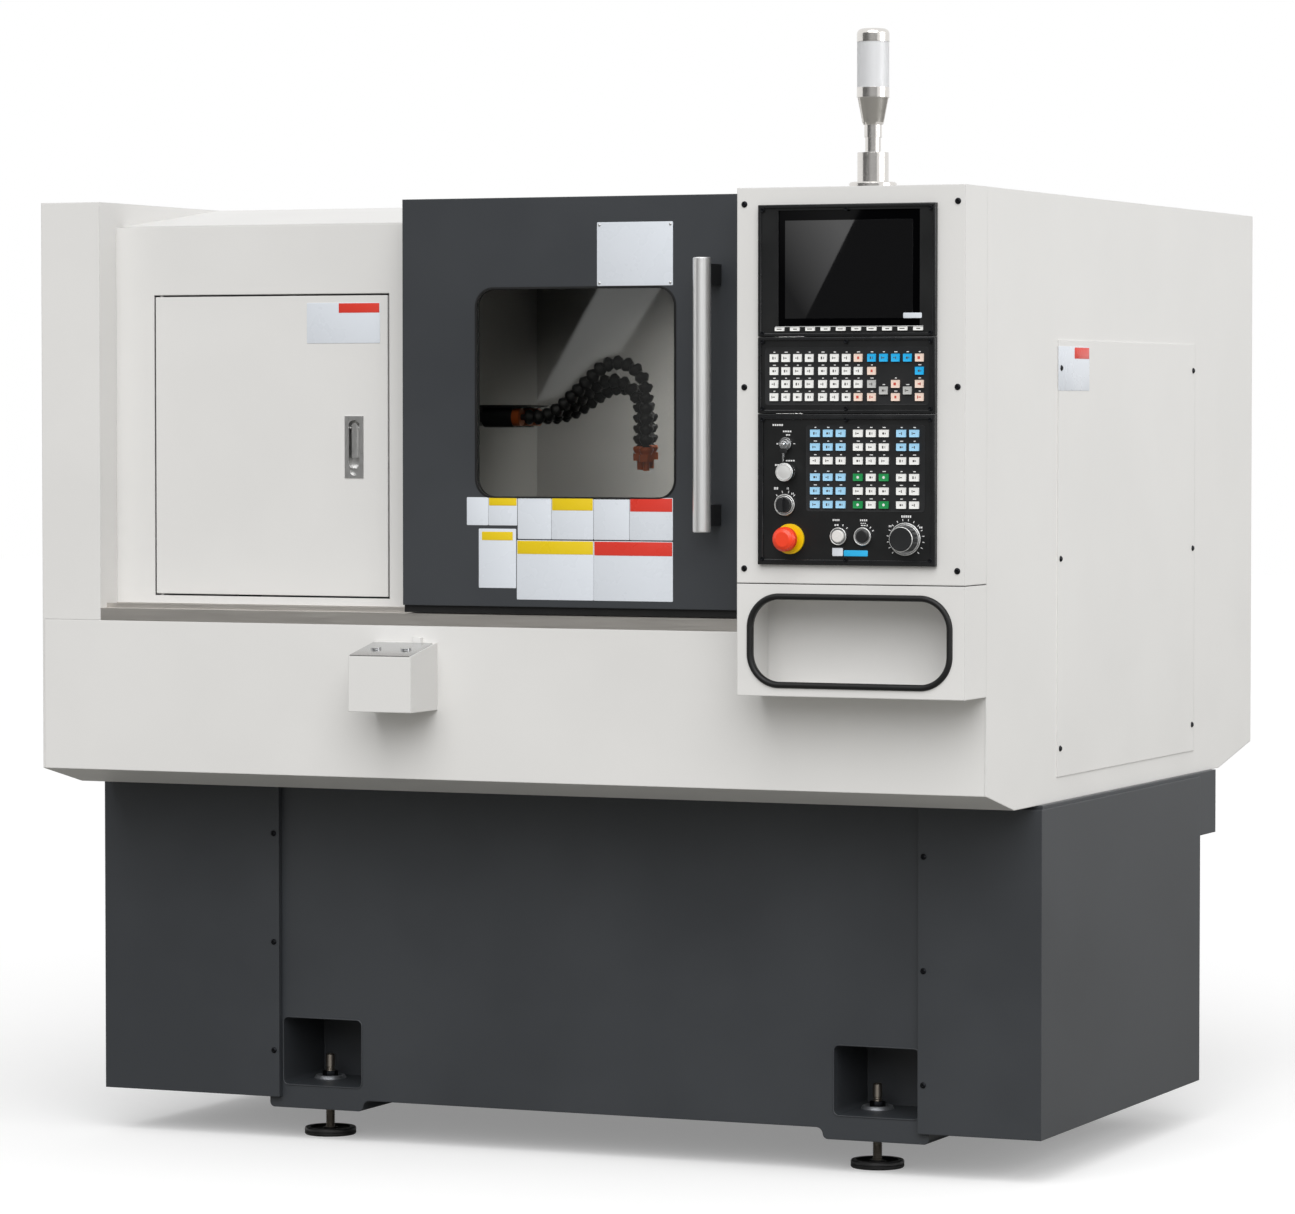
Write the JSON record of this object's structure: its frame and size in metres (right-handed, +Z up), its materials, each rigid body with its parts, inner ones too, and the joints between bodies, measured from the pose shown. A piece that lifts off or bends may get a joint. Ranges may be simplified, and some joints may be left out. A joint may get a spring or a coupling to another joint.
{
  "type": "cnc turning lathe",
  "caption": "Enclosed compact turning lathe: sliding door with window, side control console, welded base on levelling feet, spindle, gang tools and jointed coolant hoses inside.",
  "frame": {"origin": "on the floor under the middle of the overall size", "axes": "+X along the spindle to the right seen from the operator, +Y to the back, +Z up"},
  "size_m": [1.738, 1.575, 1.871],
  "materials": {
    "charcoal_paint": "powder coat, satin",
    "white_paint": "powder coat, fine texture, satin",
    "stainless_sheet": "brushed",
    "bright_steel": "ground",
    "polished_tube": "polished",
    "zinc_casting": "satin plated",
    "lamp_metal": "satin",
    "lamp_clear": "clear ribbed",
    "black_plastic": "fine texture",
    "panel_plastic": "smooth",
    "key_plastic": "smooth",
    "black_rubber": "matte",
    "black_steel": "black oxide",
    "foot_steel": "black oxide and zinc",
    "window_pane": "clear",
    "screen_pane": "gloss",
    "red_plastic": "gloss",
    "yellow_plastic": "gloss",
    "white_plastic": "gloss",
    "orange_plastic": "smooth",
    "cast_iron": "machined",
    "motor_paint": "satin",
    "liner_steel": "satin",
    "tool_steel": "black oxide"
  },
  "bodies": {
    "machine": {"base_frame": "charcoal_paint", "base_side_covers": "charcoal_paint", "levelling_feet": "foot_steel", "cover_screws": "black_steel", "lower_apron": "white_paint", "left_end_cover": "white_paint", "right_end_cover": "white_paint", "side_access_panel": "white_paint", "front_panel": "white_paint", "roof_panel": "white_paint", "rear_panel": "white_paint", "door_rails": "stainless_sheet", "service_box": "white_paint", "service_plate": "bright_steel", "control_cabinet": "white_paint", "storage_box": "white_paint", "pocket_edge_trim": "black_rubber", "screen_unit": "panel_plastic", "screen_glass": "screen_pane", "keypad_panel": "panel_plastic", "operator_panel": "panel_plastic", "panel_keys": "key_plastic", "emergency_stop_collar": "yellow_plastic", "control_bezels": "zinc_casting", "lamp_post": "lamp_metal", "lamp_lens": "lamp_clear", "lamp_cap": "lamp_metal", "chamber_liner": "liner_steel", "bed": "cast_iron", "headstock": "cast_iron", "spindle_motor": "motor_paint", "drive_belt": "black_rubber", "z_servo": "black_plastic", "coolant_manifold": "black_plastic", "coolant_hoses": "black_plastic", "coolant_fittings": "orange_plastic"},
    "door": {"sliding_door": "charcoal_paint", "door_window": "window_pane", "door_seals": "black_rubber", "door_handle_bar": "polished_tube", "door_handle_brackets": "black_plastic"},
    "access": {"access_door": "white_paint", "latch_cup": "zinc_casting"},
    "lever": {"latch_lever": "zinc_casting"},
    "spindle_unit": {"spindle": "bright_steel", "collet_chuck": "bright_steel"},
    "motor_rotor": {"motor_pulley": "bright_steel"},
    "saddle": {"carriage": "cast_iron", "x_servo": "black_plastic"},
    "z_screw": {"z_ball_screw": "bright_steel"},
    "x_screw": {"x_ball_screw": "bright_steel"},
    "gang_table": {"tool_table": "cast_iron", "tool_holders": "tool_steel"},
    "stop_button": {"emergency_stop_button": "red_plastic"},
    "key": {"key_switch_key": "zinc_casting"},
    "silver_button": {"silver_push_button": "zinc_casting"},
    "selector": {"rotary_selector": "black_plastic"},
    "white_button": {"white_push_button": "white_plastic"},
    "black_button": {"black_push_button": "black_plastic"},
    "override": {"feed_override_knob": "black_plastic"}
  },
  "joints": [
    {"name": "door_slide", "type": "slide", "parent": "machine", "child": "door", "axis": [-1, 0, 0], "range_m": [0, 0.56]},
    {"name": "access_door_hinge", "type": "hinge", "parent": "machine", "child": "access", "pos_m": [-0.659, -0.5775, 0.954], "axis": [0, 0, 1], "range_deg": [-100, 0]},
    {"name": "latch_lever_lift", "type": "hinge", "parent": "access", "child": "lever", "pos_m": [-0.2895, -0.5812, 1.237], "axis": [1, 0, 0], "range_deg": [-35, 0]},
    {"name": "spindle_spin", "type": "hinge", "parent": "machine", "child": "spindle_unit", "pos_m": [-0.4, -0.3135, 1], "axis": [1, 0, 0], "continuous": true},
    {"name": "motor_spin", "type": "hinge", "parent": "machine", "child": "motor_rotor", "pos_m": [-0.6, -0.0035, 0.905], "axis": [1, 0, 0], "continuous": true},
    {"name": "z_slide", "type": "slide", "parent": "machine", "child": "saddle", "axis": [1, 0, 0], "range_m": [-0.12, 0.15]},
    {"name": "z_screw_spin", "type": "hinge", "parent": "machine", "child": "z_screw", "pos_m": [0.2, 0.0265, 0.715], "axis": [1, 0, 0], "range_deg": [-4330, 5410]},
    {"name": "x_slide", "type": "slide", "parent": "saddle", "child": "gang_table", "axis": [0, 1, 0], "range_m": [-0.1, 0.1]},
    {"name": "x_screw_spin", "type": "hinge", "parent": "saddle", "child": "x_screw", "pos_m": [0.186, 0.0265, 0.8353], "axis": [0, 1, 0], "range_deg": [-3610, 3610]},
    {"name": "emergency_stop_press", "type": "slide", "parent": "machine", "child": "stop_button", "axis": [0, 1, 0], "range_m": [0, 0.005], "stiffness_N_per_m": 1500},
    {"name": "key_switch_turn", "type": "hinge", "parent": "machine", "child": "key", "pos_m": [0.5585, -0.7515, 1.214], "axis": [0, -1, 0], "range_deg": [0, 90]},
    {"name": "silver_button_press", "type": "slide", "parent": "machine", "child": "silver_button", "axis": [0, 1, 0], "range_m": [0, 0.004], "stiffness_N_per_m": 800},
    {"name": "selector_turn", "type": "hinge", "parent": "machine", "child": "selector", "pos_m": [0.557, -0.7515, 1.117], "axis": [0, -1, 0], "range_deg": [-45, 45]},
    {"name": "white_button_press", "type": "slide", "parent": "machine", "child": "white_button", "axis": [0, 1, 0], "range_m": [0, 0.004], "stiffness_N_per_m": 800},
    {"name": "black_button_press", "type": "slide", "parent": "machine", "child": "black_button", "axis": [0, 1, 0], "range_m": [0, 0.004], "stiffness_N_per_m": 800},
    {"name": "feed_override_turn", "type": "hinge", "parent": "machine", "child": "override", "pos_m": [0.7605, -0.7515, 1.0645], "axis": [0, -1, 0], "range_deg": [-135, 135]}
  ],
  "couplings": [
    {"joint": "motor_spin", "follows": "spindle_spin", "ratio": 1.5},
    {"joint": "z_screw_spin", "follows": "z_slide", "rad_per_m": 628.32},
    {"joint": "x_screw_spin", "follows": "x_slide", "rad_per_m": 628.32}
  ]
}
